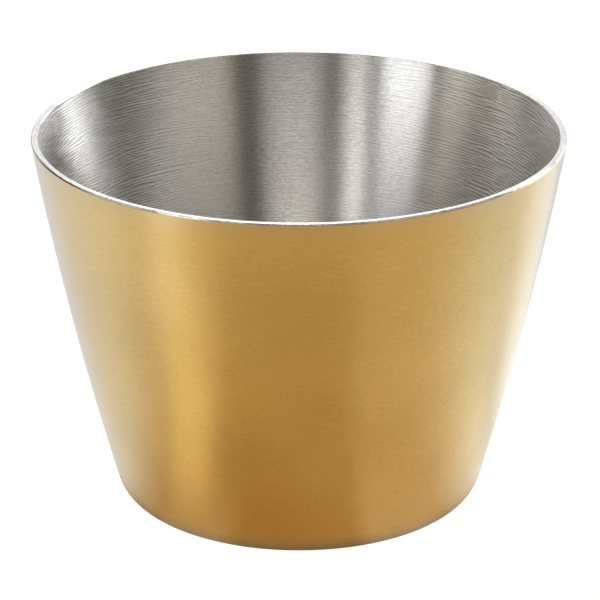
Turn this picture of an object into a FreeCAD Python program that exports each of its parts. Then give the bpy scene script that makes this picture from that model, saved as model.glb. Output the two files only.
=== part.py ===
"""A small tapered metal cup: a drawn stainless steel cup with a brass-coloured layer on its outside.

The cup stands on the XY plane with its axis on Z, and the origin is the centre of its underside.
Every length is in millimetres and is read from the spreadsheet "Dimensions".

The outside of the cup is the reference skin. From the axis outwards it is a flat foot, a corner
arc, and a wall that leans outwards and is very slightly bowed. Each piece is a band between two
depths below that skin, revolved about Z:

    brass_layer   from the skin down to layer_depth, ending a little below the rim
    steel_cup     from layer_depth down to wall_depth, ending in the flat rim
"""

import os

import FreeCAD
import Part
import Sketcher

DIMENSIONS = [
    # alias, value, what it sets
    ("rim_diameter", 60.0, "outer diameter of the skin in the plane of the rim"),
    ("cup_height", 43.0, "foot to rim"),
    ("foot_diameter", 35.0, "flat circle that the cup stands on"),
    ("corner_radius", 3.5, "skin radius between foot and wall"),
    ("wall_bow_radius", 400.0, "skin radius of the wall, seen in section"),
    ("layer_depth", 0.08, "thickness of the brass-coloured layer"),
    ("wall_depth", 0.8, "thickness of the layer and the steel together"),
    ("rim_edge_radius", 0.16, "rounding of both edges of the rim"),
    ("bare_rim_height", 0.2, "steel left uncoated below the rim"),
    ("layer_edge_radius", 0.05, "rounding of the layer's upper outside edge"),
]

SHEET = "Dimensions"
FULL_TURN = 360.0
TOUCHING = 1e-6

# Sketcher's own numbering of the points of a line or an arc, and of the sketch's axes.
START, END, CENTRE = 1, 2, 3
ORIGIN, VERTICAL_AXIS = -1, -2


def make_sheet(doc):
    """The spreadsheet of driving dimensions, one row for each, with the alias beside its value."""
    sheet = doc.addObject("Spreadsheet::Sheet", SHEET)
    for row, (alias, value, meaning) in enumerate(DIMENSIONS, start=1):
        sheet.set(f"A{row}", alias)
        sheet.set(f"B{row}", str(value))
        sheet.set(f"C{row}", meaning)
        sheet.setAlias(f"B{row}", alias)
    doc.recompute()
    return sheet


def ref(alias):
    """How an expression names a cell of the sheet."""
    return f"<<{SHEET}>>.{alias}"


def skin_centres(sheet):
    """Centres of the skin's corner arc and wall arc, as (radius, height) vectors.

    The wall arc passes through the rim and is tangent to the corner arc, so its centre lies
    wall_bow_radius from the rim and that much less corner_radius from the corner's centre.
    """
    corner = FreeCAD.Vector(sheet.foot_diameter / 2, sheet.corner_radius, 0)
    rim = FreeCAD.Vector(sheet.rim_diameter / 2, sheet.cup_height, 0)
    to_corner = sheet.wall_bow_radius - sheet.corner_radius
    chord = rim - corner
    along = (to_corner**2 - sheet.wall_bow_radius**2 + chord.Length**2) / (2 * chord.Length)
    across = (to_corner**2 - along**2) ** 0.5
    forward = FreeCAD.Vector(chord).normalize()
    inward = FreeCAD.Vector(-forward.y, forward.x, 0)
    return corner, corner + forward * along + inward * across


def depth_point(centre, through, radius):
    """The point at a radius from centre, in the direction of through."""
    return centre + FreeCAD.Vector(through - centre).normalize() * radius


def height_point(centre, radius, height):
    """The point of a circle at a height, on its outward side."""
    return FreeCAD.Vector(centre.x + (radius**2 - (height - centre.y) ** 2) ** 0.5, height, 0)


def arc_between(centre, first, last):
    """An anticlockwise arc of a sketch from first to last."""
    circle = Part.Circle(centre, FreeCAD.Vector(0, 0, 1), (first - centre).Length)
    return Part.ArcOfCircle(circle, circle.parameter(first), circle.parameter(last))


class BandSketch:
    """A sketch in the XZ plane of a band between two depths below the skin, closed on the axis."""

    def __init__(self, body, sheet):
        self.sketch = body.newObject("Sketcher::SketchObject", body.Name + "_section")
        plane = next(f for f in body.Origin.OriginFeatures if f.Role == "XZ_Plane")
        self.sketch.AttachmentSupport = [(plane, "")]
        self.sketch.MapMode = "FlatFace"
        self.sheet = sheet
        self.corner, self.wall = skin_centres(sheet)

    def constrain(self, *details):
        return self.sketch.addConstraint(Sketcher.Constraint(*details))

    def size(self, name, expression, *details):
        """A named dimension of the sketch, bound to the sheet."""
        index = self.constrain(*details)
        self.sketch.renameConstraint(index, name)
        self.sketch.setExpression(f"Constraints.{name}", expression)

    def line(self, first, last, construction=False):
        return self.sketch.addGeometry(Part.LineSegment(first, last), construction)

    def add_guides(self):
        """Construction lines that place both centres: wall centre to rim, and wall centre to corner."""
        sheet = self.sheet
        rim = FreeCAD.Vector(sheet.rim_diameter / 2, sheet.cup_height, 0)
        self.to_rim = self.line(self.wall, rim, True)
        self.to_corner = self.line(self.wall, self.corner, True)
        self.constrain("Coincident", self.to_rim, START, self.to_corner, START)
        from_origin = (ORIGIN, START, self.to_rim, END)
        self.size("rim_radius", ref("rim_diameter") + " / 2", "DistanceX", *from_origin, rim.x)
        self.size("rim_height", ref("cup_height"), "DistanceY", *from_origin, rim.y)
        bow = sheet.wall_bow_radius
        self.size("wall_bow", ref("wall_bow_radius"), "Distance", self.to_rim, bow)
        inset = f"{ref('wall_bow_radius')} - {ref('corner_radius')}"
        self.size("wall_to_corner", inset, "Distance", self.to_corner, bow - self.corner.y)
        from_origin = (ORIGIN, START, self.to_corner, END)
        self.size("foot_radius", ref("foot_diameter") + " / 2", "DistanceX", *from_origin, self.corner.x)
        self.size("corner_height", ref("corner_radius"), "DistanceY", *from_origin, self.corner.y)

    def add_side(self, name, depth, depth_text, top):
        """One side of the band: floor line, corner arc and wall arc at a depth, up to the height top."""
        corner_r = self.sheet.corner_radius - depth
        wall_r = self.sheet.wall_bow_radius - depth
        axis_point = FreeCAD.Vector(0, depth, 0)
        foot = FreeCAD.Vector(self.corner.x, depth, 0)
        seam = depth_point(self.wall, self.corner, wall_r)
        floor = self.line(axis_point, foot)
        bend = self.sketch.addGeometry(arc_between(self.corner, foot, seam))
        wall = self.sketch.addGeometry(
            arc_between(self.wall, seam, height_point(self.wall, wall_r, top))
        )
        self.constrain("PointOnObject", floor, START, VERTICAL_AXIS)
        self.constrain("Horizontal", floor)
        self.constrain("Coincident", bend, CENTRE, self.to_corner, END)
        self.constrain("Coincident", wall, CENTRE, self.to_corner, START)
        self.constrain("Coincident", floor, END, bend, START)
        self.constrain("Vertical", floor, END, bend, CENTRE)
        self.constrain("Coincident", bend, END, wall, START)
        self.constrain("PointOnObject", wall, START, self.to_corner)
        radius_text = f"{ref('corner_radius')} - {depth_text}"
        self.size(name + "_corner", radius_text, "Radius", bend, corner_r)
        return floor, wall

    def close(self, outer, inner, top_text, top):
        """The flat top between the two walls, and the axis between the two floors."""
        (outer_floor, outer_wall), (inner_floor, inner_wall) = outer, inner
        ends = [self.sketch.getPoint(g, END) for g in (outer_wall, inner_wall)]
        lip = self.line(*ends)
        axis = self.line(*[self.sketch.getPoint(g, START) for g in (inner_floor, outer_floor)])
        self.constrain("Coincident", outer_wall, END, lip, START)
        self.constrain("Coincident", lip, END, inner_wall, END)
        self.constrain("Horizontal", lip)
        self.constrain("Coincident", inner_floor, START, axis, START)
        self.constrain("Coincident", axis, END, outer_floor, START)
        self.size("top_height", top_text, "DistanceY", ORIGIN, START, lip, START, top)


def revolve_band(doc, sheet, name, outer_alias, inner_alias, bare_alias=None):
    """A body revolved from the band between two depths. None as outer_alias is the skin itself."""
    body = doc.addObject("PartDesign::Body", name)
    band = BandSketch(body, sheet)
    outer_depth, outer_text = (getattr(sheet, outer_alias), ref(outer_alias)) if outer_alias else (0.0, "0")
    inner_depth, inner_text = getattr(sheet, inner_alias), ref(inner_alias)
    top, top_text = sheet.cup_height, ref("cup_height")
    if bare_alias:
        top -= getattr(sheet, bare_alias)
        top_text += " - " + ref(bare_alias)
    band.add_guides()
    outer = band.add_side("outer", outer_depth, outer_text, top)
    inner = band.add_side("inner", inner_depth, inner_text, top)
    band.close(outer, inner, top_text, top)
    turned = body.newObject("PartDesign::Revolution", name + "_turned")
    turned.Profile = band.sketch
    turned.ReferenceAxis = (band.sketch, ["V_Axis"])
    turned.Angle = FULL_TURN
    band.sketch.Visibility = False
    doc.recompute()
    return body, turned


def top_edges(shape):
    """The round edges in the shape's highest plane, smallest first, as (radius, edge name)."""
    top = shape.BoundBox.ZMax
    found = []
    for number, edge in enumerate(shape.Edges, start=1):
        level = edge.BoundBox.ZMin > top - TOUCHING
        if level and isinstance(edge.Curve, Part.Circle):
            found.append((edge.Curve.Radius, f"Edge{number}"))
    return sorted(found)


def round_edges(doc, body, base, edges, alias):
    """A fillet on named edges, with its radius bound to the sheet."""
    fillet = body.newObject("PartDesign::Fillet", body.Name + "_rounding")
    fillet.Base = (base, [name for _, name in edges])
    fillet.setExpression("Radius", ref(alias))
    doc.recompute()
    return fillet


def make_steel_cup(doc, sheet):
    """The drawn steel cup, with both edges of its flat rim rounded."""
    body, turned = revolve_band(doc, sheet, "steel_cup", "layer_depth", "wall_depth")
    round_edges(doc, body, turned, top_edges(turned.Shape), "rim_edge_radius")
    return body


def make_brass_layer(doc, sheet):
    """The brass-coloured layer over the wall, the corner and the underside of the steel."""
    body, turned = revolve_band(doc, sheet, "brass_layer", None, "layer_depth", "bare_rim_height")
    round_edges(doc, body, turned, top_edges(turned.Shape)[-1:], "layer_edge_radius")
    return body


def check(doc, bodies):
    """Stops before anything is written if an object failed or a body isn't one valid solid."""
    failed = [o.Name for o in doc.Objects if "Invalid" in o.State or "Error" in o.State]
    if failed:
        raise RuntimeError(f"these objects failed to build: {failed}")
    for body in bodies:
        shape = body.Shape
        if shape.isNull() or not shape.isValid() or len(shape.Solids) != 1:
            raise RuntimeError(f"{body.Label} isn't one valid solid")
        size = shape.BoundBox
        print(f"{body.Label}: {size.XLength:.3f} x {size.YLength:.3f} x {size.ZLength:.3f} mm,"
              f" {shape.Volume:.1f} mm3")


def main():
    doc = FreeCAD.newDocument("tapered_cup")
    sheet = make_sheet(doc)
    bodies = [make_steel_cup(doc, sheet), make_brass_layer(doc, sheet)]
    doc.recompute()
    check(doc, bodies)
    os.makedirs("parts", exist_ok=True)
    for body in bodies:
        body.Shape.exportStep(os.path.join("parts", body.Label + ".step"))


main()
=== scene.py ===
"""The looks of a small tapered cup: brushed steel inside, a satin brass-coloured layer outside.

Both CAD nodes keep their shape. Each one gets a procedural material, and a modifier that adds the UV
map for baked detail. The studio is a ring of soft panels in a dim room, above a floor that glows for
the light that a lit table sends back. The camera sees plain white in place of the room and the floor.

Lengths are in metres. The cup stands on z = 0 with its axis on Z, and the camera looks along +Y.
Azimuths of the studio are in degrees from the camera's side of the cup, positive to the right.
"""

import math

import bpy
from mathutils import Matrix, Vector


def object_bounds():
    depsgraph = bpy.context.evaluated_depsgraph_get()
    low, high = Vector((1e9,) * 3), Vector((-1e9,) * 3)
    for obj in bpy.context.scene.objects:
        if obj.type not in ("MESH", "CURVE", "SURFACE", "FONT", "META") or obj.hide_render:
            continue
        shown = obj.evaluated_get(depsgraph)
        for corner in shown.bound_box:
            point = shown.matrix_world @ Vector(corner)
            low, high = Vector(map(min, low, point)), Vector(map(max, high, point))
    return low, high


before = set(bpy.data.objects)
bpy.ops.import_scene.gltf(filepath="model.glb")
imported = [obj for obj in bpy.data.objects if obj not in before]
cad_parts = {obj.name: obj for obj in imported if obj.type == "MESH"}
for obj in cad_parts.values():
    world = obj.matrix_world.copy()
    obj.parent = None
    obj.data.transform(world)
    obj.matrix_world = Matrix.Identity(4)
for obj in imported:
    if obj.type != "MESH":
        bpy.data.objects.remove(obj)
cad_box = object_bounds()

MM = 0.001
MICRON = 0.000001

# The cup's rim and foot, and how far out its floor and underside are flat.
RIM_RADIUS = cad_box[1][0]
RIM_HEIGHT = cad_box[1][2]
FOOT_RADIUS = 17.5 * MM
FLAT_RADIUS = 17.6 * MM

# Camera.
CAMERA_REACH = 0.420
CAMERA_HEIGHT = 0.187
CAMERA_PITCH = 21.35
CAMERA_LENS = 238.1
CAMERA_SHIFT = 0.0018
CAMERA_CLIP = 0.01

# Studio. Brightness 1 is white.
WHITE = (1.0, 1.0, 1.0, 1.0)
BACKDROP = 1.05
ROOM_COLOUR = (1.0, 0.94, 0.80, 1.0)
ROOM_LIGHT = 0.09
BOUNCES = 10

# Panels in the room. A flag is a panel that takes away some of the room's light.
COOL = (0.98, 1.0, 1.03, 1.0)
WARM = (1.0, 0.975, 0.87, 1.0)
SOFT_WARM = (1.0, 0.985, 0.93, 1.0)
PANEL_EDGE = 1.6
PANELS = [
    # tint, name, centre azimuth, half width, lowest and highest elevation, brightness
    (COOL, "front_card", 4.3, 13.5, 8.0, 34.0, 0.53),
    (WARM, "front_flag", -15.0, 5.0, -8.0, 50.0, -0.08),
    (WARM, "narrow_strip", -27.8, 4.2, 15.0, 42.0, 1.8),
    (COOL, "key_softbox", -50.4, 11.3, 3.0, 32.0, 3.5),
    (WARM, "left_wall", -89.0, 22.0, -8.0, 28.0, 0.66),
    (WARM, "left_card", -77.0, 6.0, -8.0, 28.0, 0.65),
    (WARM, "left_end_card", -109.5, 3.5, -8.0, 28.0, 0.75),
    (WARM, "left_flag", -125.0, 10.0, -8.0, 50.0, -0.08),
    (COOL, "left_back_card", -145.0, 9.0, -8.0, 14.0, 1.1),
    (COOL, "back_screen", 180.0, 30.0, -8.0, 30.0, 1.0),
    (SOFT_WARM, "back_ceiling", -177.0, 29.0, 30.0, 90.0, 3.05),
    (COOL, "right_side_softbox", 124.8, 8.2, 9.0, 38.0, 10.6),
    (COOL, "right_back_strip", 143.5, 7.0, -4.0, 9.0, 7.0),
    (WARM, "right_card", 46.0, 15.0, 6.0, 46.0, 0.82),
    (WARM, "right_thin_strip", 62.5, 3.0, 10.0, 45.0, 0.45),
    (WARM, "right_high_card", 90.0, 14.0, 28.0, 50.0, 0.88),
]

# Floor: a matt disc with a glow that is warm in front, paler at the sides and cooler at the back.
FLOOR_RADIUS = 2.0
FLOOR_CORNERS = 64
FLOOR_ALBEDO = 0.3
FRONT_GLOW = 0.51
SIDE_GLOW = 0.64
NEAR_FRONT_COLOUR = (0.75, 0.40, 0.085, 1.0)
FAR_FRONT_COLOUR = (1.0, 0.75, 0.39, 1.0)
SIDE_COLOUR = (0.97, 1.01, 1.07, 1.0)
BACK_COLOUR = (0.82, 0.95, 1.20, 1.0)
NEAR_RADIUS = 22 * MM
FAR_RADIUS = 100 * MM
FRONT_ENDS = 45.0
SIDE_STARTS = 90.0
BACK_STARTS = 160.0

# The cup shades the floor close to its foot.
CONTACT_ENDS = 24 * MM
CONTACT_LIGHT = 0.16
CONTACT_COLOUR = (1.0, 0.70, 0.50, 1.0)

# Pools of light on the floor. A shade is a pool that takes away some of the floor's glow.
GOLD = (1.0, 0.96, 0.66, 1.0)
PALE = (0.93, 1.10, 1.38, 1.0)
POOL_EDGE = 10.0
POOL_SPREAD = 0.25
POOLS = [
    # tint, name, centre azimuth, half width, nearest and farthest radius, brightness
    (GOLD, "near_key_pool", -45.0, 9.0, 28 * MM, 62 * MM, 0.42),
    (PALE, "far_key_pool", -53.0, 8.5, 62 * MM, 240 * MM, 0.48),
    (WHITE, "near_right_pool", 59.0, 37.0, 22 * MM, 62 * MM, 0.12),
    (PALE, "left_foot_pool", -38.0, 14.0, 17 * MM, 27 * MM, 0.09),
    (PALE, "right_foot_pool", 38.0, 14.0, 17 * MM, 27 * MM, 0.09),
    (WHITE, "front_shade", -4.0, 26.0, 46 * MM, 240 * MM, -0.09),
    (WHITE, "right_far_shade", 60.0, 40.0, 75 * MM, 400 * MM, -0.05),
    (PALE, "right_back_pool", 126.0, 16.0, 36 * MM, 240 * MM, 0.30),
    (WHITE, "right_edge_shade", 160.0, 22.0, 36 * MM, 600 * MM, -0.28),
]

# Brushing in general. Noise lies about its mean, clouds are slow noise, and a quarter turn of the
# tangent makes the brushing run round the axis.
NOISE_MEAN = 0.5
LEAST_RADIUS = 0.5 * MM
LAYER_SHIFT = 37.0
STRAND_ROUGHNESS = 0.6
CLOUD_DETAIL = 3.0
SHADE_LOW = 0.38
SHADE_HIGH = 0.62
BRUSHED_ROUND = 0.25

# Steel, from the bottom of a groove to the top of a ridge: brushing tone, with painted shade in the grooves.
STEEL_GROOVE_SHADE = (0.27, 0.262, 0.25, 1.0)
STEEL_DARK = (0.58, 0.565, 0.545, 1.0)
STEEL_BRIGHT = (0.88, 0.865, 0.845, 1.0)
STEEL_RIDGE = (0.96, 0.945, 0.92, 1.0)
STEEL_ROUGHNESS = 0.28
STEEL_ROUGHNESS_RANGE = 0.03
STEEL_CLOUD = 9 * MM
STEEL_DIRECTED = 1.0
STEEL_RELIEF = 16 * MICRON

# Fine strands, as cells round the axis and pitch, then tilt and its azimuth where a layer has them.
STEEL_STRANDS = [(480, 0.11 * MM), (260, 0.12 * MM, 0.6 * MM, 120.0)]
FINE_SWING = 0.075

# Long lines, as cells round the axis, spacing, tilt and its azimuth. They and their painted groove shade are
# strongest at the cup's left and right.
FIRST_LINES = (11, 0.33 * MM, 1.1 * MM, 60.0)
SECOND_LINES = (16, 0.41 * MM, 1.1 * MM, -40.0)
LINE_DRIFT = 8.0
LINE_WANDER = 4.6
LONG_SWING = 0.155
LONG_STARTS = 0.30
LONG_FULL = 0.85
LONG_LEAST = 0.22
WALL_STARTS = 2 * MM
WALL_FULL = 9 * MM
# Where the long lines' grooves lie, and how much painted shade darkens them.
GROOVE_CORE = 0.02
GROOVE_EDGE = 0.28
GROOVE_SHADE_SHARE = 0.8

# The steel's lip, where the long lines end, and the painted grey shade on the outline of its far side.
LIP_STARTS = RIM_HEIGHT - 0.20 * MM
LIP_FULL = RIM_HEIGHT - 0.14 * MM
STEEL_OUTLINE_SHADE = (0.42, 0.41, 0.395, 1.0)
OUTLINE_STARTS = RIM_RADIUS - 0.20 * MM
OUTLINE_FULL = RIM_RADIUS - 0.10 * MM
OUTLINE_LEAN = 0.5
OUTLINE_FAR_STARTS = -0.1
OUTLINE_FAR_FULL = 0.2

# Painted dark reflection on the steel's bare outer edge at the left, just above the brass-coloured layer.
STEEL_DARK_REFLECTION = (0.10, 0.07, 0.05, 1.0)
EDGE_REFLECTION_CENTRE = -74.0
EDGE_REFLECTION_HALF_WIDTH = 24.0
EDGE_REFLECTION_END = 8.0
EDGE_REFLECTION_RADIUS = RIM_RADIUS - 0.20 * MM
EDGE_REFLECTION_RADIUS_STEP = 0.05 * MM
EDGE_REFLECTION_HEIGHT = RIM_HEIGHT - 0.05 * MM
EDGE_REFLECTION_HEIGHT_STEP = 0.04 * MM

# Brass, which turns paler a little below the rim.
BRASS_DARK = (0.625, 0.42, 0.085, 1.0)
BRASS_BRIGHT = (0.745, 0.515, 0.125, 1.0)
BRASS_NEAR_RIM = (0.65, 0.455, 0.155, 1.0)
FADE_STARTS = RIM_HEIGHT - 2.6 * MM
FADE_FULL = RIM_HEIGHT - 0.2 * MM
BRASS_ROUGHNESS = 0.34
BRASS_ROUGHNESS_RANGE = 0.08
BRASS_CLOUD = 12 * MM
BRASS_CLOUD_SHARE = 0.35
BRASS_DIRECTED = 0.7
BRASS_RELIEF = 5.0 * MICRON
BRASS_TICKS = [(340, 0.14 * MM), (200, 0.18 * MM, 0.6 * MM, 30.0)]
BRASS_SWING = 0.10
BRASS_COAT = {"Coat Weight": 1.0, "Coat Roughness": 0.3, "Coat IOR": 2.1}

# UV map: squares and strips as lowest u, lowest v, width and height, and the profile's first and last
# sum of radius and height.
SHOWN_WALL = (0.005, 0.32, 0.99, 0.675)
HIDDEN_WALL = (0.57, 0.01, 0.42, 0.28)
SHOWN_DISC = (0.01, 0.01, 0.27, 0.27)
HIDDEN_DISC = (0.29, 0.01, 0.27, 0.27)
PROFILE_STARTS = 0.98 * FLAT_RADIUS
PROFILE_ENDS = RIM_RADIUS + RIM_HEIGHT
DISC_MIDDLE = 0.5
FLAT_FACING = 0.999


class Graph:
    """A node tree, with short calls for the nodes that the materials, the world and the UV map share."""

    def __init__(self, tree):
        self.tree = tree
        self.tree.nodes.clear()

    def add(self, kind, **settings):
        node = self.tree.nodes.new(kind)
        for name, value in settings.items():
            setattr(node, name, value)
        return node

    def feed(self, socket, value):
        """Links a socket to value if value is another node's socket, or else sets it."""
        if isinstance(value, bpy.types.NodeSocket):
            self.tree.links.new(value, socket)
        else:
            socket.default_value = value

    def made(self, kind, values, **settings):
        """The first output of a new node whose inputs are fed in order."""
        node = self.add(kind, **settings)
        for socket, value in zip(node.inputs, values):
            self.feed(socket, value)
        return node.outputs[0]

    def maths(self, operation, *values):
        return self.made("ShaderNodeMath", values, operation=operation)

    def vector_maths(self, operation, *values):
        return self.made("ShaderNodeVectorMath", values, operation=operation)

    def measured(self, operation, *vectors):
        """The number that a vector operation gives, such as a length or a dot product."""
        node = self.add("ShaderNodeVectorMath", operation=operation)
        for socket, vector in zip(node.inputs, vectors):
            self.feed(socket, vector)
        return node.outputs["Value"]

    def scaled(self, vector, factor):
        node = self.add("ShaderNodeVectorMath", operation="SCALE")
        self.feed(node.inputs["Vector"], vector)
        self.feed(node.inputs["Scale"], factor)
        return node.outputs[0]

    def ramp(self, value, low, high, low_gives=0.0, high_gives=1.0):
        """A smooth step from low_gives to high_gives as value goes from low to high."""
        settings = {"interpolation_type": "SMOOTHSTEP"}
        return self.made("ShaderNodeMapRange", (value, low, high, low_gives, high_gives), **settings)

    def vector(self, x, y, z):
        return self.made("ShaderNodeCombineXYZ", (x, y, z))

    def split(self, vector):
        node = self.add("ShaderNodeSeparateXYZ")
        self.feed(node.inputs[0], vector)
        return node.outputs

    def noise(self, vector, detail=2.0, roughness=0.5):
        """Smooth noise about its mean, with one cell for each unit of the vector."""
        node = self.add("ShaderNodeTexNoise")
        self.feed(node.inputs["Vector"], vector)
        self.feed(node.inputs["Scale"], 1.0)
        self.feed(node.inputs["Detail"], detail)
        self.feed(node.inputs["Roughness"], roughness)
        return node.outputs["Fac"]

    def mix(self, share, first, second):
        """A mix of two numbers."""
        node = self.add("ShaderNodeMix", data_type="FLOAT")
        self.feed(node.inputs[0], share)
        self.feed(node.inputs[2], first)
        self.feed(node.inputs[3], second)
        return node.outputs[0]

    def choose(self, condition, if_not, if_so):
        """One of two vectors."""
        node = self.add("ShaderNodeMix", data_type="VECTOR")
        self.feed(node.inputs[0], condition)
        self.feed(node.inputs[4], if_not)
        self.feed(node.inputs[5], if_so)
        return node.outputs[1]

    def blend(self, share, first, second):
        """A mix of two colours."""
        node = self.add("ShaderNodeMix", data_type="RGBA")
        self.feed(node.inputs[0], share)
        self.feed(node.inputs[6], first)
        self.feed(node.inputs[7], second)
        return node.outputs[2]


def camera_azimuth(g, x, y):
    """Degrees round from the camera's side of the cup, positive to the right."""
    return g.maths("DEGREES", g.maths("ARCTAN2", x, g.maths("MULTIPLY", y, -1.0)))


def angle_apart(g, azimuth, centre):
    """How many degrees azimuth is from centre, the short way round."""
    turned = g.maths("SUBTRACT", azimuth, centre)
    return g.maths("ABSOLUTE", g.maths("WRAP", turned, 180.0, -180.0))


def window(g, azimuth, centre, half_width, edge, inside):
    """The value inside near a centre azimuth, and 0 away from it."""
    apart = angle_apart(g, azimuth, centre)
    return g.ramp(apart, half_width - edge / 2, half_width + edge / 2, inside, 0.0)


def labelled(socket, name):
    """Names the node that a socket belongs to."""
    socket.node.label = name
    return socket


def panel_light(g, azimuth, elevation, panel):
    """The brightness that one panel adds in a direction."""
    _, name, centre, half_width, low, high, brightness = panel
    across = window(g, azimuth, centre, half_width, PANEL_EDGE, brightness)
    above = g.ramp(elevation, low - PANEL_EDGE, low + PANEL_EDGE)
    below = g.ramp(elevation, high - PANEL_EDGE, high + PANEL_EDGE, 1.0, 0.0)
    return labelled(g.maths("MULTIPLY", across, g.maths("MULTIPLY", above, below)), name)


def pool_light(g, azimuth, radius, pool):
    """The brightness that one pool adds to the floor at a place."""
    _, name, centre, half_width, nearest, farthest, brightness = pool
    across = window(g, azimuth, centre, half_width, POOL_EDGE, brightness)
    starts = g.ramp(radius, nearest * (1.0 - POOL_SPREAD), nearest * (1.0 + POOL_SPREAD))
    stops = g.ramp(radius, farthest * (1.0 - POOL_SPREAD), farthest * (1.0 + POOL_SPREAD), 1.0, 0.0)
    return labelled(g.maths("MULTIPLY", across, g.maths("MULTIPLY", starts, stops)), name)


def shine(g, kind, colour, strength):
    """The output of a Background or Emission shader."""
    node = g.add(kind)
    g.feed(node.inputs["Color"], colour)
    g.feed(node.inputs["Strength"], strength)
    return node.outputs[0]


def together(g, first, second):
    """Two shaders added up."""
    return g.made("ShaderNodeAddShader", (first, second))


def add_sources(g, lit, kind, sources, light_of):
    """A shader with the light of all panels or pools added, in one Background or Emission for each tint."""
    for tint in dict.fromkeys(source[0] for source in sources):
        light = 0.0
        for source in [s for s in sources if s[0] == tint]:
            light = g.maths("ADD", light, light_of(source))
        lit = together(g, lit, shine(g, kind, tint, light))
    return lit


def white_to_camera(g, kind, shader):
    """Shows the camera plain white instead of a shader."""
    camera_ray = g.add("ShaderNodeLightPath").outputs["Is Camera Ray"]
    return g.made("ShaderNodeMixShader", (camera_ray, shader, shine(g, kind, WHITE, BACKDROP)))


def make_studio():
    """The world: a dim warm room with upright panels round the cup."""
    world = bpy.data.worlds.new("studio")
    world.use_nodes = True
    bpy.context.scene.world = world
    g = Graph(world.node_tree)
    kind = "ShaderNodeBackground"
    x, y, z = g.split(g.add("ShaderNodeTexCoord").outputs["Generated"])
    azimuth = camera_azimuth(g, x, y)
    elevation = g.maths("DEGREES", g.maths("ARCSINE", z))
    room = shine(g, kind, ROOM_COLOUR, ROOM_LIGHT)
    lit = add_sources(g, room, kind, PANELS, lambda panel: panel_light(g, azimuth, elevation, panel))
    g.feed(g.add("ShaderNodeOutputWorld").inputs["Surface"], white_to_camera(g, kind, lit))


def floor_glow(g, azimuth, radius):
    """The floor's own light, which is warmer and dimmer in front of the cup and dark close to its foot."""
    turned = g.maths("ABSOLUTE", azimuth)
    side = g.ramp(turned, FRONT_ENDS, SIDE_STARTS)
    away = g.ramp(radius, NEAR_RADIUS, FAR_RADIUS)
    open_floor = g.ramp(radius, FOOT_RADIUS, CONTACT_ENDS)
    front_colour = g.blend(away, NEAR_FRONT_COLOUR, FAR_FRONT_COLOUR)
    side_colour = g.blend(g.ramp(turned, SIDE_STARTS, BACK_STARTS), SIDE_COLOUR, BACK_COLOUR)
    colour = g.blend(open_floor, CONTACT_COLOUR, g.blend(side, front_colour, side_colour))
    glow = g.mix(side, FRONT_GLOW, SIDE_GLOW)
    strength = g.maths("MULTIPLY", glow, g.mix(open_floor, CONTACT_LIGHT, 1.0))
    return shine(g, "ShaderNodeEmission", colour, strength)


def floor_look(g):
    """A pale matt floor with its glow, pools and shades."""
    kind = "ShaderNodeEmission"
    position = g.add("ShaderNodeNewGeometry").outputs["Position"]
    x, y, _ = g.split(position)
    azimuth = camera_azimuth(g, x, y)
    radius = g.measured("LENGTH", position)
    glow = floor_glow(g, azimuth, radius)
    lit = add_sources(g, glow, kind, POOLS, lambda pool: pool_light(g, azimuth, radius, pool))
    matt = g.made("ShaderNodeBsdfDiffuse", ((FLOOR_ALBEDO, FLOOR_ALBEDO, FLOOR_ALBEDO, 1.0),))
    shown = white_to_camera(g, kind, together(g, matt, lit))
    g.feed(g.add("ShaderNodeOutputMaterial").inputs["Surface"], shown)


def make_floor():
    """A round floor with its centre below the cup."""
    mesh = bpy.data.meshes.new("floor")
    turns = [math.tau * i / FLOOR_CORNERS for i in range(FLOOR_CORNERS)]
    corners = [(math.cos(a) * FLOOR_RADIUS, math.sin(a) * FLOOR_RADIUS, 0.0) for a in turns]
    mesh.from_pydata(corners, [], [range(FLOOR_CORNERS)])
    floor = bpy.data.objects.new("floor", mesh)
    bpy.context.scene.collection.objects.link(floor)
    material = bpy.data.materials.new("pale_floor")
    material.use_nodes = True
    floor_look(Graph(material.node_tree))
    mesh.materials.append(material)


def make_camera():
    """The camera, a little above the cup and looking down at it."""
    data = bpy.data.cameras.new("camera")
    data.lens = CAMERA_LENS
    data.shift_x = CAMERA_SHIFT
    data.clip_start = CAMERA_CLIP
    camera = bpy.data.objects.new("camera", data)
    camera.location = (0.0, -CAMERA_REACH, CAMERA_HEIGHT)
    camera.rotation_euler = (math.radians(90.0 - CAMERA_PITCH), 0.0, 0.0)
    bpy.context.scene.collection.objects.link(camera)
    bpy.context.scene.camera = camera


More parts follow.
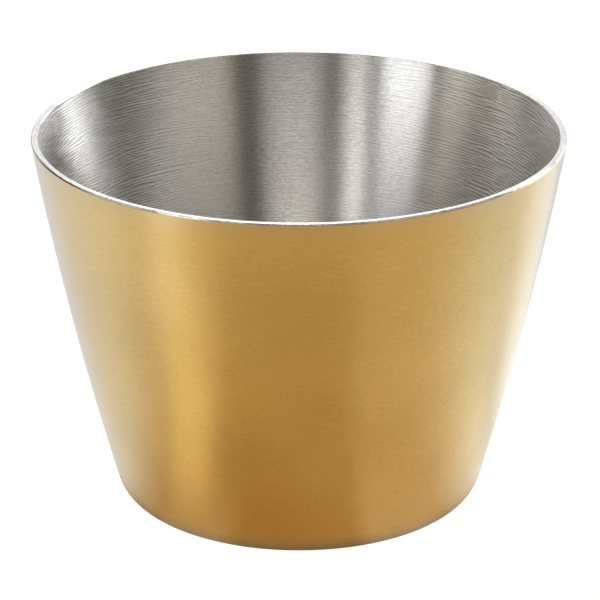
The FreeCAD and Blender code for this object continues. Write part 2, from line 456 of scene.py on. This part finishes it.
class TurnedSurface:
    """Where a shading point lies on a turned piece: round the axis, and along the profile from the
    centre of its floor to its rim. Noise that is far apart round the axis and close together along the
    profile makes the strands of brushing."""

    def __init__(self, g):
        self.g = g
        x, y, self.z = g.split(g.add("ShaderNodeTexCoord").outputs["Object"])
        square = g.maths("ADD", g.maths("MULTIPLY", x, x), g.maths("MULTIPLY", y, y))
        self.radius = g.maths("MAXIMUM", g.maths("SQRT", square), LEAST_RADIUS)
        self.across = g.maths("DIVIDE", x, self.radius)
        self.forward = g.maths("DIVIDE", y, self.radius)
        self.along = g.maths("ADD", self.z, self.radius)

    def place(self, cells_round, pitch, tilt=0.0, tilt_azimuth=0.0, shift=0.0):
        """The noise vector of one layer of strands, tilted off level by up to tilt over the radius."""
        g = self.g
        lean_x = g.maths("MULTIPLY", self.across, tilt * math.cos(math.radians(tilt_azimuth)))
        lean_y = g.maths("MULTIPLY", self.forward, tilt * math.sin(math.radians(tilt_azimuth)))
        along = g.maths("ADD", self.along, g.maths("ADD", lean_x, lean_y))
        reach = cells_round / math.tau
        return g.vector(
            g.maths("MULTIPLY", self.across, reach),
            g.maths("MULTIPLY", self.forward, reach),
            g.maths("ADD", g.maths("DIVIDE", along, pitch), shift),
        )

    def strands(self, layers):
        """The mean of several layers of strands."""
        g = self.g
        total = 0.0
        for index, layer in enumerate(layers):
            place = self.place(*layer, shift=LAYER_SHIFT * index)
            total = g.maths("ADD", total, g.noise(place, roughness=STRAND_ROUGHNESS))
        return g.maths("MULTIPLY", total, 1.0 / len(layers))

    def lines(self, cells_round, spacing, tilt, tilt_azimuth):
        """Long lines at an even spacing, which wander a little as they go round."""
        g = self.g
        _, _, along = g.split(self.place(1.0, spacing, tilt, tilt_azimuth))
        wander = g.noise(self.place(cells_round, LINE_DRIFT * spacing, tilt, tilt_azimuth))
        turns = g.maths("MULTIPLY_ADD", wander, LINE_WANDER, along)
        wave = g.maths("SINE", g.maths("MULTIPLY", turns, math.tau))
        return g.maths("MULTIPLY_ADD", wave, 0.5, 0.5)

    def clouds(self, size):
        """Slow blotches of a size."""
        return self.g.noise(self.place(math.tau * RIM_RADIUS / size, size), CLOUD_DETAIL)


def metal(g, colour, roughness, directed, relief, relief_depth, swing, swing_reach, **extra):
    """One metal shader: brushed round the axis, with a relief of strands whose direction swings a little."""
    bump = g.add("ShaderNodeBump")
    g.feed(bump.inputs["Strength"], 1.0)
    g.feed(bump.inputs["Distance"], relief_depth)
    g.feed(bump.inputs["Height"], relief)
    tangent = g.add("ShaderNodeTangent", direction_type="RADIAL", axis="Z").outputs[0]
    swung = g.maths("MULTIPLY", g.maths("SUBTRACT", swing, NOISE_MEAN), swing_reach)
    normal = g.vector_maths("ADD", bump.outputs[0], g.scaled(tangent, swung))
    shader = g.add("ShaderNodeBsdfPrincipled")
    g.feed(shader.inputs["Base Color"], colour)
    g.feed(shader.inputs["Metallic"], 1.0)
    g.feed(shader.inputs["Roughness"], roughness)
    g.feed(shader.inputs["Anisotropic"], directed)
    g.feed(shader.inputs["Anisotropic Rotation"], BRUSHED_ROUND)
    g.feed(shader.inputs["Tangent"], tangent)
    g.feed(shader.inputs["Normal"], g.vector_maths("NORMALIZE", normal))
    for name, value in extra.items():
        g.feed(shader.inputs[name], value)
    g.feed(g.add("ShaderNodeOutputMaterial").inputs["Surface"], shader.outputs[0])


def lines_and_groove_shade(g, surface, lip):
    """How much the long lines and their painted groove shade show: most at the cup's left and right, less on
    its floor, none on its lip.
    """
    sides = g.ramp(g.maths("ABSOLUTE", surface.across), LONG_STARTS, LONG_FULL, LONG_LEAST, 1.0)
    on_wall = g.mix(g.ramp(surface.z, WALL_STARTS, WALL_FULL), LONG_LEAST, sides)
    return g.mix(lip, on_wall, 0.0)


def far_outline_shade(g, surface):
    """Where the painted grey shade goes: the rim's outer edge on the far side of the cup, reaching further
    round at the left.
    """
    edge = g.ramp(surface.radius, OUTLINE_STARTS, OUTLINE_FULL)
    behind = g.maths("SUBTRACT", surface.forward, g.maths("MULTIPLY", surface.across, OUTLINE_LEAN))
    return g.maths("MULTIPLY", edge, g.ramp(behind, OUTLINE_FAR_STARTS, OUTLINE_FAR_FULL))


def left_dark_reflection(g, surface):
    """Where the painted dark reflection goes: the steel's outer edge just below the rim, at the cup's left.
    """
    azimuth = camera_azimuth(g, surface.across, surface.forward)
    beside = window(g, azimuth, EDGE_REFLECTION_CENTRE, EDGE_REFLECTION_HALF_WIDTH, EDGE_REFLECTION_END, 1.0)
    outer = g.ramp(surface.radius, EDGE_REFLECTION_RADIUS, EDGE_REFLECTION_RADIUS + EDGE_REFLECTION_RADIUS_STEP)
    below = g.ramp(surface.z, EDGE_REFLECTION_HEIGHT - EDGE_REFLECTION_HEIGHT_STEP, EDGE_REFLECTION_HEIGHT, 1.0, 0.0)
    return g.maths("MULTIPLY", g.maths("MULTIPLY", beside, outer), below)


def make_steel():
    """Brushed stainless steel: fine strands round the axis, and long lines over them at the sides, with
    painted shade darkening the grooves of both.
    """
    material = bpy.data.materials.new("brushed_steel_look")
    material.use_nodes = True
    g = Graph(material.node_tree)
    surface = TurnedSurface(g)
    lip = g.ramp(surface.z, LIP_STARTS, LIP_FULL)
    # Strength of the long lines, their swing and their painted groove shade.
    lined_and_shaded = lines_and_groove_shade(g, surface, lip)
    fine = surface.strands(STEEL_STRANDS)
    first = surface.lines(*FIRST_LINES)
    second = surface.lines(*SECOND_LINES)
    # Brushing tone of the fine strands, with painted shade in their grooves.
    plain = g.blend(g.ramp(fine, SHADE_LOW, SHADE_HIGH), STEEL_DARK, STEEL_BRIGHT)
    # Painted shade in the grooves of the long lines.
    ridge = g.ramp(g.maths("MINIMUM", first, second), GROOVE_CORE, GROOVE_EDGE)
    groove_shaded = g.blend(ridge, STEEL_GROOVE_SHADE, STEEL_RIDGE)
    colour = g.blend(g.maths("MULTIPLY", lined_and_shaded, GROOVE_SHADE_SHARE), plain, groove_shaded)
    # Painted grey shade on the far side of the rim's outline.
    colour = g.blend(far_outline_shade(g, surface), colour, STEEL_OUTLINE_SHADE)
    # Painted dark reflection on the steel's outer edge at the left.
    colour = g.blend(left_dark_reflection(g, surface), colour, STEEL_DARK_REFLECTION)
    uneven = g.maths("MULTIPLY", surface.clouds(STEEL_CLOUD), STEEL_ROUGHNESS_RANGE)
    rough = g.mix(lip, g.maths("ADD", STEEL_ROUGHNESS, uneven), STEEL_ROUGHNESS)
    swing = g.mix(lined_and_shaded, fine, g.mix(0.5, first, second))
    swing_reach = g.mix(lined_and_shaded, FINE_SWING, LONG_SWING)
    metal(g, colour, rough, STEEL_DIRECTED, fine, STEEL_RELIEF, swing, swing_reach)
    return material


def make_brass():
    """A satin brass-coloured finish: very short fine brushing and slow changes of tone under a soft coat."""
    material = bpy.data.materials.new("satin_brass_look")
    material.use_nodes = True
    g = Graph(material.node_tree)
    surface = TurnedSurface(g)
    ticks = surface.strands(BRASS_TICKS)
    clouds = surface.clouds(BRASS_CLOUD)
    shade = g.ramp(g.mix(BRASS_CLOUD_SHARE, ticks, clouds), SHADE_LOW, SHADE_HIGH)
    colour = g.blend(shade, BRASS_DARK, BRASS_BRIGHT)
    colour = g.blend(g.ramp(surface.z, FADE_STARTS, FADE_FULL), colour, BRASS_NEAR_RIM)
    least = BRASS_ROUGHNESS - BRASS_ROUGHNESS_RANGE / 2
    rough = g.maths("ADD", least, g.maths("MULTIPLY", clouds, BRASS_ROUGHNESS_RANGE))
    metal(g, colour, rough, BRASS_DIRECTED, ticks, BRASS_RELIEF, ticks, BRASS_SWING, **BRASS_COAT)
    return material


def in_square(g, square, u, v):
    """A place in a square or strip of the UV map, from u and v that go from 0 to 1 across it."""
    low_u, low_v, width, height = square
    return g.vector(
        g.maths("MULTIPLY_ADD", u, width, low_u),
        g.maths("MULTIPLY_ADD", v, height, low_v),
        0.0,
    )


def of_face(g, field):
    """A vector field's value for each whole face."""
    settings = {"domain": "FACE", "data_type": "FLOAT_VECTOR"}
    return g.made("GeometryNodeFieldOnDomain", (field,), **settings)


def round_axis(g, x, y, middle_x, middle_y):
    """Turns round the axis, with the corners of a face kept on the same turn as its middle."""
    turn = g.maths("DIVIDE", g.maths("ARCTAN2", y, x), math.tau)
    middle_turn = g.maths("FRACT", g.maths("DIVIDE", g.maths("ARCTAN2", middle_y, middle_x), math.tau))
    step = g.maths("WRAP", g.maths("SUBTRACT", turn, middle_turn), 0.5, -0.5)
    return g.maths("ADD", middle_turn, step)


def turned_map(outside_shows):
    """A node tree that gives a turned piece the UV map for baked detail: u goes round the axis and v along
    the profile, so that brushing keeps its direction. The flat floor and underside get discs of their own."""
    tree = bpy.data.node_groups.new("turned_map", "GeometryNodeTree")
    for way in ("INPUT", "OUTPUT"):
        tree.interface.new_socket("Geometry", in_out=way, socket_type="NodeSocketGeometry")
    g = Graph(tree)
    point = g.add("GeometryNodeInputPosition").outputs[0]
    x, y, z = g.split(point)
    middle_x, middle_y, _ = g.split(of_face(g, point))
    level_middle = g.vector(middle_x, middle_y, 0.0)
    facing = of_face(g, g.add("GeometryNodeInputNormal").outputs[0])
    upward = g.split(facing)[2]
    outward = g.measured("DOT_PRODUCT", facing, g.vector_maths("NORMALIZE", level_middle))

    inside = g.maths("GREATER_THAN", g.maths("SUBTRACT", upward, outward), 0.0)
    shows = g.maths("SUBTRACT", 1.0, inside) if outside_shows else inside
    level = g.maths("GREATER_THAN", g.maths("ABSOLUTE", upward), FLAT_FACING)
    near = g.maths("LESS_THAN", g.measured("LENGTH", level_middle), FLAT_RADIUS)
    disc = g.maths("MULTIPLY", level, near)

    u = round_axis(g, x, y, middle_x, middle_y)
    radius = g.maths("SQRT", g.maths("ADD", g.maths("MULTIPLY", x, x), g.maths("MULTIPLY", y, y)))
    profile = (g.maths("ADD", radius, z), PROFILE_STARTS, PROFILE_ENDS, 0.0, 1.0)
    v = g.made("ShaderNodeMapRange", profile)
    disc_u = g.maths("MULTIPLY_ADD", x, DISC_MIDDLE / FLAT_RADIUS, DISC_MIDDLE)
    disc_v = g.maths("MULTIPLY_ADD", y, DISC_MIDDLE / FLAT_RADIUS, DISC_MIDDLE)
    wall = g.choose(shows, in_square(g, HIDDEN_WALL, u, v), in_square(g, SHOWN_WALL, u, v))
    hidden_disc = in_square(g, HIDDEN_DISC, disc_u, disc_v)
    shown_disc = in_square(g, SHOWN_DISC, disc_u, disc_v)
    flat = g.choose(shows, hidden_disc, shown_disc)

    store = g.add("GeometryNodeStoreNamedAttribute", data_type="FLOAT2", domain="CORNER")
    g.feed(store.inputs["Geometry"], g.add("NodeGroupInput").outputs[0])
    g.feed(store.inputs["Name"], "OFBake")
    g.feed(store.inputs["Value"], g.choose(disc, wall, flat))
    g.feed(g.add("NodeGroupOutput").inputs[0], store.outputs[0])
    return tree


def dress(node, material, outside_shows):
    """Gives a CAD node its material, and a modifier that adds its UV map."""
    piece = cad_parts[node]
    for slot in piece.material_slots:
        slot.material = material
    modifier = piece.modifiers.new("turned_map", "NODES")
    modifier.node_group = turned_map(outside_shows)


make_studio()
make_floor()
make_camera()
bpy.context.scene.view_settings.view_transform = "Standard"
bpy.context.scene.cycles.glossy_bounces = BOUNCES
dress("steel_cup", make_steel(), outside_shows=False)
dress("brass_layer", make_brass(), outside_shows=True)
